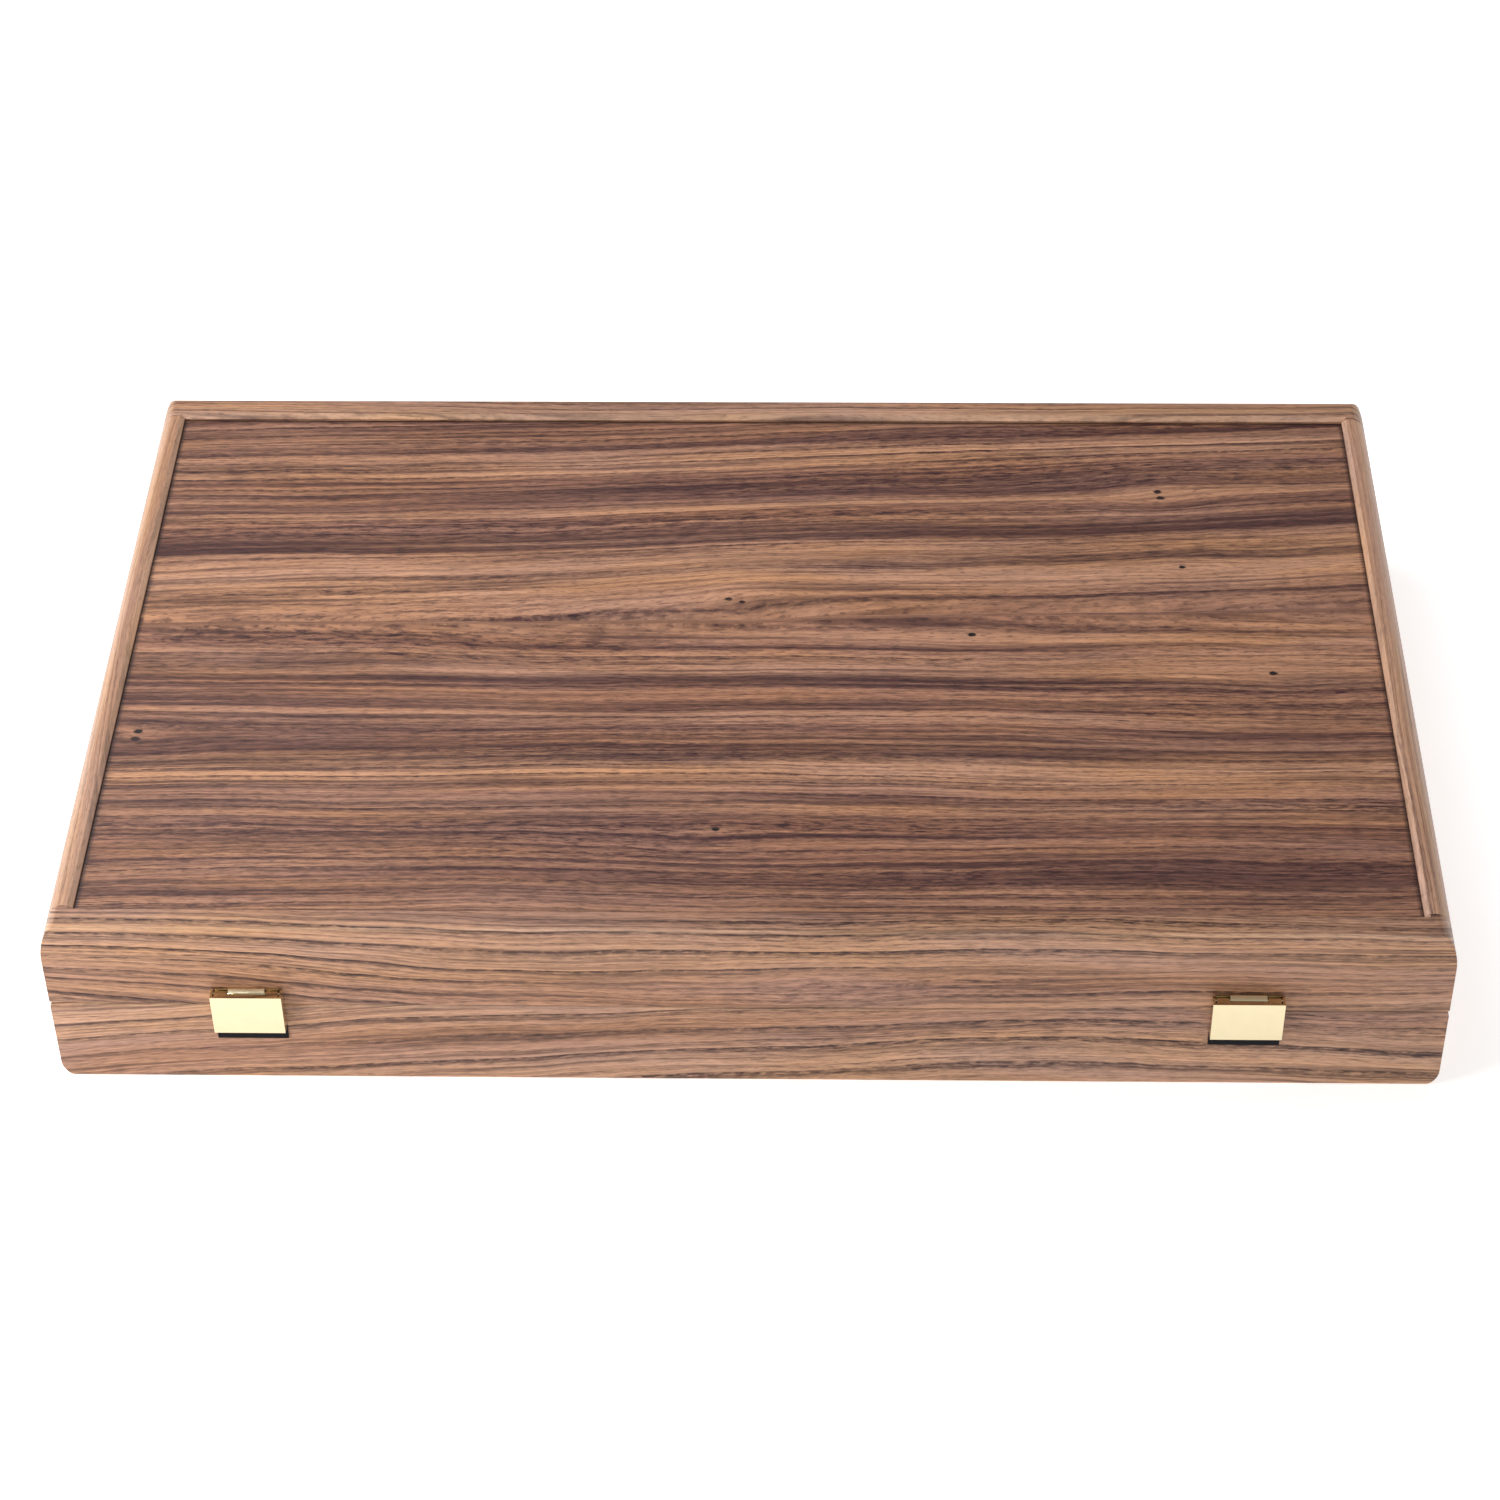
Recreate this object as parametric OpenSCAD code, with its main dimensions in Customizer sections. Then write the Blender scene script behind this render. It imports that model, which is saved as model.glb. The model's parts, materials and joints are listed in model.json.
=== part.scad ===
// Chess set in a folding walnut case. Closed, the case is a flat box. It opens like a book on two
// butt hinges along its back edge, and the two half boards inside then make one 8 x 8 board.
// Millimetres, +Z up, front of the case towards -Y. The origin is under the middle of the closed
// case, latches and hinge knuckles included, on the surface that the case lies on.

/* [Case] */
// Width of the closed case, left to right
case_w = 480; // [460:1:520]
// Depth of the closed case, front face to rear face
case_d = 300; // [296:1:330]
// Height of the closed case
case_h = 73; // [73:0.5:80]
// Thickness of the rails
wall = 11; // [10:0.5:13]
// Gap between the two halves at the seam
seam_gap = 0.4; // [0.2:0.1:0.8]

/* [Edges] */
// How far the lid's end rounding reaches in from the side
lid_corner_in = 7.5; // [6:0.5:9]
// How far the lid's end rounding reaches down the side
lid_corner_drop = 16; // [10:0.5:20]
// Radius of the tight part of the lid's end rounding
lid_corner_r = 5; // [3:0.5:5.5]
// How far the base's end rounding reaches in from the side
base_corner_in = 6.5; // [6.5:0.5:9]
// How far the base's end rounding reaches up the side
base_corner_drop = 7.5; // [7:0.5:12]
// Radius of the tight part of the base's end rounding
base_corner_r = 6; // [3:0.5:6]
// Rounding of the long outer edges at the front and the back
long_edge_r = 1.5; // [0.5:0.25:3]
// Easing of the lid's edges at the seam
lid_seam_ease = 0.8; // [0.3:0.1:2]
// Easing of the base's edges at the seam
base_seam_ease = 1.4; // [0.3:0.1:2]
// Mitred bevel round the inner edge of each rim
rim_bevel = 1.6; // [0.8:0.1:2.4]

/* [Panels] */
// Thickness of the large outer panels
panel_t = 4; // [3:0.5:5]
// Depth of the panels below the rims
panel_recess = 2.5; // [1.5:0.25:3]
// Depth of the panel groove in the rails
groove_depth = 3; // [2:0.5:4]

/* [Board] */
// Side of one square
square_size = 42; // [38:1:42]
// Thickness of a board leaf
leaf_t = 6; // [5:0.5:8]
// Thickness of the inlaid squares
veneer_t = 1; // [0.6:0.1:1.5]
// Hairline between neighbouring squares
square_gap = 0.1; // [0.05:0.05:0.2]
// Border of the leaf beside the squares where it passes over the rear rail
tongue_margin = 4; // [2:1:6]

/* [Rack] */
// Depth of the rack for the men, from the front rail to the divider
rack_depth = 76; // [74:1:80]
// Thickness of the divider between the rack and the board
divider_t = 6; // [5:0.5:8]
// Ledge of the divider that carries the board leaf
divider_ledge = 2; // [1:0.5:3]
// Width of the cradle that grips the feet of the men
foot_cradle_w = 9; // [6:0.5:10]
// Where the neck cradle starts, up from a man's foot
neck_cradle_from = 19; // [18:0.5:20]
// Width of the neck cradle
neck_cradle_w = 6; // [4:0.5:8]
// How far the cradles close over the middle of a man
cradle_grip = 2; // [0:0.5:3]
// Felt on the rack floor
felt_t = 1; // [0.5:0.1:1.5]

/* [Men] */
// Diameter of the king's foot
king_d = 28; // [24:0.5:28]

/* [Hinges] */
// Distance of each hinge from the middle of the case
hinge_x = 197; // [195:1:205]
// Length of a hinge
hinge_len = 40; // [30:1:42]
// Radius of a hinge knuckle
knuckle_r = 2.6; // [2.2:0.1:3]
// Radius of a hinge pin
hinge_pin_r = 1.2; // [1:0.1:1.4]
// Thickness of a hinge leaf
hinge_leaf_t = 1.2; // [1:0.1:1.5]

/* [Latches] */
// Distance of each latch from the middle of the case
latch_x = 171; // [120:1:190]
// Width of a latch
latch_w = 24.5; // [22:0.5:28]
// Height of the flap above the seam
flap_above = 8.2; // [8:0.1:9]
// Height of the flap below the seam
flap_below = 8.8; // [8:0.1:10]
// How far the latch stands out of the front face
latch_proud = 5; // [5:0.1:6]

/* [Hidden] */
$fn = 64;
eps = 0.01;

// Heights: the halves are the same inside, so one half is worked out with its outer skin at 0.
seam_z = case_h / 2;
rim_z = seam_z - seam_gap / 2;
panel_top = panel_recess + panel_t;
leaf_top = rim_z - 0.3;
leaf_bottom = leaf_top - leaf_t;

// The knuckles stand out at the back and the latches at the front, so the case is moved along Y
// until the whole object is centred.
hinge_offset = 0.15;
hinge_proud = knuckle_r + hinge_offset;
shift_y = (latch_proud - hinge_proud) / 2;
half_w = case_w / 2;
front_y = shift_y - case_d / 2;
rear_y = shift_y + case_d / 2;
inner_w = half_w - wall;
inner_front = front_y + wall;
inner_rear = rear_y - wall;
fit = 0.2;

lid_corner = [lid_corner_in, lid_corner_drop, lid_corner_r];
base_corner = [base_corner_in, base_corner_drop, base_corner_r];

// Board: four rows of squares lie in each half, from the hinge line inwards.
field_half = 4 * square_size;
tongue_half = field_half + tongue_margin;
divider_front = inner_front + rack_depth;
divider_rear = divider_front + divider_t;

// Rack: the men lie on their sides, feet to the front, held by two cradles.
men = ["pawn", "pawn", "pawn", "pawn", "rook", "knight", "bishop", "queen",
       "king", "bishop", "knight", "rook", "pawn", "pawn", "pawn", "pawn"];
men_scale = king_d / 28;
men_z = panel_top + 1.4 + king_d / 2;
men_y = inner_front + 1.5;
seat_clearance = 0.3;

function foot_d(kind) = men_scale * (
    kind == "king" ? 28 : kind == "queen" ? 27 : kind == "pawn" ? 22.5 : 25.5);
function sum_to(n) = n == 0 ? 0 : foot_d(men[n - 1]) + sum_to(n - 1);
men_gap = (2 * inner_w - sum_to(16)) / 17;
function men_x(i) = -inner_w + (i + 1) * men_gap + sum_to(i) + foot_d(men[i]) / 2;

// Hinge and latch axes
hinge_y = rear_y + hinge_offset;
knuckle_gap = 0.3;
hinge_leaf_depth = 10;
latch_barrel_r = 1;
latch_pin_r = 0.5;
latch_axis_out = 1.9;
latch_axis_z = seam_z + flap_above - latch_barrel_r;
latch_plate_t = 0.8;
flap_t = 0.8;
tab_half = 6.3;
tab_slope = 20;
cheek_t = 0.8;
running_clearance = 0.05;

// Screws: [head radius, shank radius, head depth, shank length]
hinge_screw = [2.3, 1.1, 1.2, 9];
latch_screw = [1.4, 0.8, 0.6, 6];

walnut = "#8a5f42";
walnut_light = "#a97d58";
maple = "#e3c79a";
wenge = "#4a3024";
felt_green = "#23402f";
brass = "#e8cf86";
bronze = "#6b5a2a";
boxwood = "#d9b87c";
ebony = "#3b2a22";

// ---- helpers -------------------------------------------------------------------------------

// Points on an arc, in degrees
function arc(cx, cy, r, from, to, steps = 8) =
    [for (i = [0:steps]) [cx + r * cos(from + (to - from) * i / steps),
                          cy + r * sin(from + (to - from) * i / steps)]];

// Points mirrored left to right, in reverse order so that an outline stays closed
function flipped(points) = [for (i = [len(points) - 1:-1:0]) [-points[i][0], points[i][1]]];

// Right-hand edge of a half, skin at 0: a gentle arc down the side runs into a tight one at the
// skin, and the edge at the seam is eased.
function corner_side_r(c) = (c[0] * c[0] + pow(c[1] - c[2], 2) - c[2] * c[2]) / (2 * (c[0] - c[2]));
function corner_meet(c) = atan2(c[1] - c[2], corner_side_r(c) - c[0]);
function half_edge(c, ease) = concat(
    arc(half_w - c[0], c[2], c[2], -90, -corner_meet(c)),
    arc(half_w - corner_side_r(c), c[1], corner_side_r(c), -corner_meet(c), 0, 6),
    arc(half_w - ease, rim_z - ease, ease, 0, 90, 4));

module end_outline(c, ease) {
    edge = half_edge(c, ease);
    polygon(concat(edge, flipped(edge)));
}

// Extrude an X-Z outline along Y, from y0 to y1
module along_y(y0, y1) {
    translate([0, y1, 0]) rotate([90, 0, 0]) linear_extrude(height = y1 - y0) children();
}

// Extrude a Y-Z outline along X, centred
module along_x(length) {
    translate([-length / 2, 0, 0]) rotate([90, 0, 90]) linear_extrude(height = length) children();
}

// A box given by its lowest and highest corners
module box_between(low, high) {
    translate(low) cube(high - low);
}

// Puts a half drawn with its skin at 0 into the lid's place
module lid_side() {
    translate([0, 0, case_h]) mirror([0, 0, 1]) children();
}

// ---- one half of the case ------------------------------------------------------------------

// What the panel takes out of the rails: a groove, and a bevel mitred at the corners
module panel_cut() {
    grip = groove_depth;
    box_between([-inner_w - grip, inner_front - grip, panel_recess - 0.1],
                [inner_w + grip, inner_rear + grip, panel_top + 0.1]);
    b = rim_bevel;
    intersection() {
        along_y(inner_front - 2 * b, inner_rear + 2 * b)
            polygon([[-inner_w - b - eps, -eps], [inner_w + b + eps, -eps], [inner_w, b], [-inner_w, b]]);
        along_x(case_w)
            polygon([[inner_front - b - eps, -eps], [inner_rear + b + eps, -eps],
                     [inner_rear, b], [inner_front, b]]);
    }
}

// A long rail's outline in Y-Z, rounded at its outer long edge and eased at the seam
module long_rail_outline(ease) {
    r = long_edge_r;
    outer = concat(arc(r, r, r, 270, 180, 5), arc(ease, rim_z - ease, ease, 180, 90, 4));
    polygon(concat(outer, [[wall, rim_z], [wall, 0]]));
}

// screw_z is the height of the latch screws in this half, from its skin
module front_rail(c, ease, screw_z) {
    difference() {
        intersection() {
            along_y(front_y, inner_front) end_outline(c, ease);
            translate([0, front_y, 0]) along_x(case_w + 2) long_rail_outline(ease);
        }
        panel_cut();
        both_latches() latch_screws_at(screw_z, running_clearance);
    }
}

// The rear rail is cut down in the middle, where the board leaf passes over it to the hinge line,
// and let in at both ends for the hinges.
module rear_rail(c, ease) {
    difference() {
        intersection() {
            along_y(inner_rear, rear_y) end_outline(c, ease);
            translate([0, rear_y, 0]) mirror([0, 1, 0]) along_x(case_w + 2) long_rail_outline(ease);
        }
        panel_cut();
        box_between([-tongue_half - fit, inner_rear - 1, leaf_bottom],
                    [tongue_half + fit, rear_y + 1, rim_z + 1]);
        for (side = [-1, 1]) {
            translate([side * hinge_x, 0, 0]) hinge_mortise();
        }
    }
}

module side_rail(c, ease, side) {
    x0 = side > 0 ? inner_w : -half_w;
    difference() {
        intersection() {
            along_y(inner_front, inner_rear) end_outline(c, ease);
            box_between([x0, inner_front, -1], [x0 + wall, inner_rear, rim_z + 1]);
        }
        panel_cut();
    }
}

module panel() {
    grip = groove_depth - 0.4;
    box_between([-inner_w - grip, inner_front - grip, panel_recess],
                [inner_w + grip, inner_rear + grip, panel_top]);
}

module divider() {
    along_x(2 * inner_w)
        polygon([[divider_front, panel_top], [divider_rear, panel_top], [divider_rear, leaf_bottom],
                 [divider_rear - divider_ledge, leaf_bottom], [divider_rear - divider_ledge, leaf_top],
                 [divider_front, leaf_top]]);
}

// The leaf fills the half from the divider to the rear rail, and a tongue as wide as the squares
// runs on over the rail to the hinge line. The squares lie in a pocket in its face.
module board_leaf() {
    pocket = field_half + square_gap / 2;
    difference() {
        union() {
            box_between([-inner_w + fit, divider_rear - divider_ledge + fit, leaf_bottom],
                        [inner_w - fit, inner_rear - fit, leaf_top]);
            box_between([-tongue_half, inner_rear - 1, leaf_bottom], [tongue_half, rear_y, leaf_top]);
        }
        box_between([-pocket, rear_y - pocket, leaf_top - veneer_t], [pocket, rear_y + 1, leaf_top + 1]);
    }
}

// Every other square of the four rows in this half. parity is 0 or 1.
module squares(parity) {
    side = square_size - square_gap;
    for (row = [0:3]) {
        for (column = [0:7]) {
            if ((row + column) % 2 == parity) {
                translate([(column - 4) * square_size + square_gap / 2,
                           rear_y - (row + 1) * square_size + square_gap / 2, leaf_top - veneer_t])
                    cube([side, side, veneer_t]);
            }
        }
    }
}

// A bar across the rack with a round seat for each man
module cradle(y0, y1, seat_radii) {
    along_y(y0, y1) difference() {
        translate([-inner_w + fit, panel_top]) square([2 * (inner_w - fit), men_z + cradle_grip - panel_top]);
        for (i = [0:15]) {
            translate([men_x(i), men_z]) circle(r = seat_radii[i]);
        }
    }
}

module foot_cradle() {
    cradle(inner_front, inner_front + foot_cradle_w,
           [for (kind = men) foot_d(kind) / 2 + seat_clearance]);
}

module neck_cradle() {
    cradle(men_y + neck_cradle_from, men_y + neck_cradle_from + neck_cradle_w,
           [for (kind = men) neck_seat(kind) + seat_clearance]);
}

module rack_felt() {
    channel = inner_front + foot_cradle_w;
    neck = men_y + neck_cradle_from;
    box_between([-inner_w, channel, panel_top], [inner_w, neck, panel_top + felt_t]);
    box_between([-inner_w, neck + neck_cradle_w, panel_top], [inner_w, divider_front, panel_top + felt_t]);
}

// ---- hinges --------------------------------------------------------------------------------

module x_cylinder(r, from, to) {
    translate([from, 0, 0]) rotate([0, 90, 0]) cylinder(r = r, h = to - from);
}

// Countersunk screw, head face at 0, pointing down -Z
module screw(s, slack = 0) {
    translate([0, 0, -s[2]]) cylinder(r1 = s[1] + slack, r2 = s[0] + slack, h = s[2]);
    translate([0, 0, -s[2] - s[3]]) cylinder(r = s[1] + slack, h = s[3] + eps);
}

// Screw places of one hinge, in the hinge's own frame
hinge_screw_places = [for (x = [-hinge_len / 3, hinge_len / 3]) [x, hinge_y - 6.2, rim_z]];

// Room in a rear rail for a hinge leaf, its knuckles and its screws
module hinge_mortise() {
    box_between([-hinge_len / 2 - 0.1, hinge_y - hinge_leaf_depth - 0.1, rim_z - hinge_leaf_t],
                [hinge_len / 2 + 0.1, rear_y + 1, rim_z + 1]);
    translate([0, hinge_y, seam_z])
        x_cylinder(knuckle_r + knuckle_gap, -hinge_len / 2 - knuckle_gap, hinge_len / 2 + knuckle_gap);
    for (place = hinge_screw_places) {
        translate(place) screw(hinge_screw, running_clearance);
    }
}

// One leaf in a half's frame. spans lists where this leaf has its knuckles.
module hinge_leaf(spans) {
    clear = knuckle_r + knuckle_gap + 0.2;
    difference() {
        union() {
            box_between([-hinge_len / 2, hinge_y - hinge_leaf_depth, rim_z - hinge_leaf_t],
                        [hinge_len / 2, hinge_y - clear, rim_z]);
            for (span = spans) {
                box_between([span[0], hinge_y - clear - eps, rim_z - hinge_leaf_t],
                            [span[1], hinge_y, rim_z]);
                translate([0, hinge_y, seam_z]) x_cylinder(knuckle_r, span[0], span[1]);
            }
        }
        translate([0, hinge_y, seam_z])
            x_cylinder(hinge_pin_r + running_clearance, -hinge_len, hinge_len);
        for (place = hinge_screw_places) {
            translate(place) screw(hinge_screw, running_clearance);
        }
    }
}

third = hinge_len / 3;
outer_spans = [[-hinge_len / 2, -third / 2], [third / 2, hinge_len / 2]];
middle_spans = [[-third / 2 + knuckle_gap, third / 2 - knuckle_gap]];

module hinge_pin() {
    translate([0, hinge_y, seam_z]) x_cylinder(hinge_pin_r, -hinge_len / 2, hinge_len / 2);
}

module hinge_screws() {
    for (side = [-1, 1]) {
        for (place = hinge_screw_places) {
            translate([side * hinge_x, 0, 0]) translate(place) screw(hinge_screw);
        }
    }
}

// ---- latches -------------------------------------------------------------------------------
// A latch is drawn at X 0. Its outlines are in [distance out of the front face, height].

// Extrude such an outline along X between two places
module latch_slab(from, to) {
    translate([from, front_y, 0]) mirror([0, 1, 0]) rotate([90, 0, 90])
        linear_extrude(height = to - from) children();
}

module latch_barrel(from, to, r) {
    latch_slab(from, to) translate([latch_axis_out, latch_axis_z]) circle(r = r);
}

plate_screw_z = seam_z + 2.8;
strike_screw_z = seam_z - 12;

// Two screws of a latch, heads flush with its plate, pointing into the wood
module latch_screws_at(z, slack = 0) {
    for (x = [-7.5, 7.5]) {
        translate([x, front_y - latch_plate_t, z]) rotate([90, 0, 0]) screw(latch_screw, slack);
    }
}

module both_latches() {
    for (side = [-1, 1]) {
        translate([side * latch_x, 0, 0]) children();
    }
}

// Hinge plate, screwed to the lid, with the middle knuckle and its sloping tab
module latch_plate() {
    tab_out = latch_axis_out + latch_barrel_r * sin(tab_slope);
    tab_z = latch_axis_z + latch_barrel_r * cos(tab_slope);
    tab_top = tab_z + (tab_out - latch_plate_t) * tan(tab_slope);
    difference() {
        union() {
            latch_slab(-latch_w / 2 + 1.05, latch_w / 2 - 1.05)
                translate([0, seam_z + 0.8]) square([latch_plate_t, flap_above - 0.8]);
            latch_slab(-tab_half, tab_half)
                polygon([[0, latch_axis_z - 0.4], [latch_axis_out, latch_axis_z - 0.4], [tab_out, tab_z],
                         [latch_plate_t, tab_top], [0, tab_top]]);
            latch_barrel(-tab_half, tab_half, latch_barrel_r);
        }
        latch_barrel(-latch_w, latch_w, latch_pin_r + running_clearance);
        latch_screws_at(plate_screw_z, running_clearance);
    }
}

// Flap: front plate with a rim along its top, two cheeks, two knuckles, and a lip at its foot that
// catches on the strike
module latch_flap() {
    w = latch_w / 2;
    foot = seam_z - flap_below;
    crown = seam_z + flap_above;
    back = latch_proud - flap_t;
    difference() {
        union() {
            latch_slab(-w, w) translate([back, foot]) square([flap_t, crown - foot]);
            for (side = [-1, 1]) {
                cheek = side > 0 ? w - cheek_t : -w;
                latch_slab(cheek, cheek + cheek_t) {
                    translate([0.3, foot]) square([back - 0.2, latch_axis_z - foot]);
                    translate([latch_axis_out - latch_barrel_r, latch_axis_z - eps])
                        square([back + 0.1 - latch_axis_out + latch_barrel_r, latch_barrel_r + eps]);
                }
                knuckle = side > 0 ? tab_half + knuckle_gap : -w + cheek_t + 0.5;
                reach = w - cheek_t - 0.5 - tab_half - knuckle_gap;
                latch_barrel(knuckle, knuckle + reach, latch_barrel_r);
                latch_slab(knuckle, knuckle + reach)
                    translate([latch_axis_out, latch_axis_z - 0.4])
                        square([back + 0.1 - latch_axis_out, latch_barrel_r + 0.4]);
            }
            latch_slab(-tab_half - 1, tab_half + 1)
                translate([latch_axis_out + 1.45, crown - 0.8]) square([back - latch_axis_out - 1.35, 0.8]);
            latch_slab(-w + cheek_t - eps, w - cheek_t + eps)
                translate([1.3, foot]) square([back - 1.2, 0.8]);
        }
        latch_barrel(-w + cheek_t / 2, w - cheek_t / 2, latch_pin_r + running_clearance);
    }
}

module latch_pin() {
    reach = latch_w / 2 - cheek_t / 2 - 0.1;
    latch_barrel(-reach, reach, latch_pin_r);
}

// Strike: a plate on the base with a hook, which the flap's lip snaps under
module latch_strike() {
    w = latch_w / 2;
    hook_foot = seam_z - flap_below + 1;
    difference() {
        union() {
            latch_slab(-w + 1.05, w - 1.05)
                translate([0, seam_z - flap_below - 1]) square([latch_plate_t, flap_below]);
            latch_slab(-w, w) translate([0, seam_z - flap_below - 7]) square([latch_plate_t, 6.7]);
            latch_slab(-5, 5)
                polygon([[latch_plate_t - eps, hook_foot], [3.2, hook_foot], [3.2, hook_foot + 1],
                         [latch_plate_t - eps, hook_foot + 4]]);
        }
        latch_screws_at(strike_screw_z, running_clearance);
    }
}

// ---- chess men -----------------------------------------------------------------------------
// A man's outline is a list of [height, radius] from its foot up, for a king of 70 on a 28 foot.

function bead(z, r, h, out, steps = 6) =
    [for (i = [0:steps]) [z + h * i / steps, r + out * sin(180 * i / steps)]];
function waist(z0, r0, z1, r1, power = 2.2, steps = 9) =
    [for (i = [0:steps]) [z0 + (z1 - z0) * i / steps, r1 + (r0 - r1) * pow(1 - i / steps, power)]];
function ball(z, r, from, to, steps = 10) =
    [for (i = [0:steps]) [z + r * sin(from + (to - from) * i / steps),
                          r * cos(from + (to - from) * i / steps)]];

// Foot mouldings, then the waist up to the collar
function trunk(r, collar_z, collar_r) = concat(
    bead(0, r - 0.7, 4.4, 0.7), bead(4.6, r - 2.6, 2.4, 0.9), waist(7.2, r - 3.2, collar_z, collar_r));
function collar(z, r, out) = concat(
    bead(z + 0.1, r + out * 0.5, 1.5, out * 0.5), bead(z + 1.8, r, 1.3, out * 0.4));

king_outline = concat(trunk(14, 44, 4.6), collar(44.1, 4.6, 3.6), waist(47.4, 4.9, 57.4, 8.6, 0.75),
    bead(57.5, 8, 1.4, 0.8), ball(56.8, 6.6, 22, 78), bead(63.4, 1.3, 1.6, 1));
queen_outline = concat(trunk(13.5, 40, 4.3), collar(40.1, 4.3, 3.4), waist(43.4, 4.5, 53.4, 8, 0.75),
    [[55.2, 8.3]], ball(51.6, 6.4, 38, 70), ball(59.6, 2.2, -50, 88));
bishop_outline = concat(trunk(12.75, 31, 3.9), collar(31.1, 3.9, 3.2),
    [for (t = [0:0.1:0.9]) [34.3 + 14 * t, 6.4 * pow(sin(180 * pow(t * 0.94 + 0.05, 0.72)), 0.62)]],
    ball(49.3, 1.8, -40, 88));
rook_outline = concat(trunk(12.75, 26, 5.6), collar(26.1, 5.6, 2.6), waist(29.4, 6, 33, 7.4, 0.8),
    [[33.1, 8], [41.6, 8.3], [42, 7.9]]);
pawn_outline = concat(trunk(11.25, 21.6, 3.5), collar(21.7, 3.5, 3), ball(29.8, 5.8, -62, 88, 14));
knight_outline = concat(bead(0, 12.05, 4.4, 0.7), bead(4.6, 10.15, 2.4, 0.9), bead(7.2, 8.8, 2.6, 1.4),
    [[10, 8.6], [11.6, 7.4]]);

// Turned solid from an outline
module turned(outline) {
    rotate_extrude()
        polygon(concat([[0, 0]], [for (p = outline) [p[1], p[0]]], [[0, outline[len(outline) - 1][0]]]));
}

module king() {
    turned(king_outline);
    translate([-1.1, -1.1, 64]) cube([2.2, 2.2, 6]);
    translate([-3, -1.1, 66.2]) cube([6, 2.2, 2]);
}

module queen() {
    difference() {
        turned(queen_outline);
        for (i = [0:7]) {
            rotate([0, 0, i * 45]) translate([8.6, 0, 56.4]) rotate([0, 90, 0])
                cylinder(r = 1.9, h = 4, center = true);
        }
    }
}

module bishop() {
    difference() {
        turned(bishop_outline);
        translate([3.2, 0, 44.5]) rotate([0, 35, 0]) cube([0.9, 14, 9], center = true);
    }
}

module rook() {
    difference() {
        turned(rook_outline);
        translate([0, 0, 38.6]) cylinder(r = 5.4, h = 4);
        for (i = [0:2]) {
            rotate([0, 0, i * 60]) translate([0, 0, 41]) cube([20, 2.4, 3.2], center = true);
        }
    }
}

// The horse's head, seen from its left side: [forward, up]
horse_outline = [
    [-7.4, 11], [-8.6, 16], [-9.2, 22], [-8.6, 29], [-6.8, 35.5], [-3.8, 40.5], [-1.2, 43.2],
    [-1.4, 47.6], [1.4, 44.6], [4, 42.4], [6.6, 38.6], [9.2, 34.2], [11.2, 30.6], [11.2, 28],
    [9.2, 26.4], [6.8, 27], [4.6, 28.6], [1.8, 29], [1.6, 27], [3.4, 23.6], [6, 19.4], [7.6, 15], [7.6, 11]
];

module knight() {
    turned(knight_outline);
    rotate([90, 0, 0]) linear_extrude(height = 10, center = true) polygon(horse_outline);
}

module pawn() {
    turned(pawn_outline);
}

// Widest radius of a man between two distances from its foot
function widest(outline, from, to) =
    max([for (z = [from:0.1:to]) men_scale * lookup(z / men_scale, outline)]);
function neck_seat(kind) = kind == "knight" ? 12.6 * men_scale : widest(
    kind == "king" ? king_outline
    : kind == "queen" ? queen_outline
    : kind == "bishop" ? bishop_outline
    : kind == "rook" ? rook_outline
    : pawn_outline,
    neck_cradle_from, neck_cradle_from + neck_cradle_w);

// Lays a man in place i of the rack, foot to the front and head to the board
module lay(i) {
    translate([men_x(i), men_y, men_z]) rotate([-90, 0, 0]) scale(men_scale) children();
}

module pawns() {
    for (i = [0, 1, 2, 3, 12, 13, 14, 15]) {
        lay(i) pawn();
    }
}

// ---- nodes ---------------------------------------------------------------------------------

module base_front_rail() { color(walnut_light) front_rail(base_corner, base_seam_ease, strike_screw_z); }
module base_rear_rail() { color(walnut_light) rear_rail(base_corner, base_seam_ease); }
module base_left_rail() { color(walnut_light) side_rail(base_corner, base_seam_ease, -1); }
module base_right_rail() { color(walnut_light) side_rail(base_corner, base_seam_ease, 1); }
module base_panel() { color(walnut) panel(); }
module base_board_leaf() { color(walnut) board_leaf(); }
module base_light_squares() { color(maple) squares(0); }
module base_dark_squares() { color(wenge) squares(1); }
module base_divider() { color(walnut) divider(); }
module base_foot_cradle() { color(felt_green) foot_cradle(); }
module base_neck_cradle() { color(felt_green) neck_cradle(); }
module base_rack_felt() { color(felt_green) rack_felt(); }
module lid_front_rail() {
    color(walnut_light) lid_side() front_rail(lid_corner, lid_seam_ease, case_h - plate_screw_z);
}
module lid_rear_rail() { color(walnut_light) lid_side() rear_rail(lid_corner, lid_seam_ease); }
module lid_left_rail() { color(walnut_light) lid_side() side_rail(lid_corner, lid_seam_ease, -1); }
module lid_right_rail() { color(walnut_light) lid_side() side_rail(lid_corner, lid_seam_ease, 1); }
module lid_panel() { color(walnut) lid_side() panel(); }
module lid_board_leaf() { color(walnut) lid_side() board_leaf(); }
module lid_light_squares() { color(maple) lid_side() squares(1); }
module lid_dark_squares() { color(wenge) lid_side() squares(0); }
module lid_divider() { color(walnut) lid_side() divider(); }
module lid_foot_cradle() { color(felt_green) lid_side() foot_cradle(); }
module lid_neck_cradle() { color(felt_green) lid_side() neck_cradle(); }
module lid_rack_felt() { color(felt_green) lid_side() rack_felt(); }
module left_hinge_base_leaf() { color(brass) translate([-hinge_x, 0, 0]) hinge_leaf(outer_spans); }
module left_hinge_lid_leaf() { color(brass) lid_side() translate([-hinge_x, 0, 0]) hinge_leaf(middle_spans); }
module left_hinge_pin() { color(brass) translate([-hinge_x, 0, 0]) hinge_pin(); }
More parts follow.
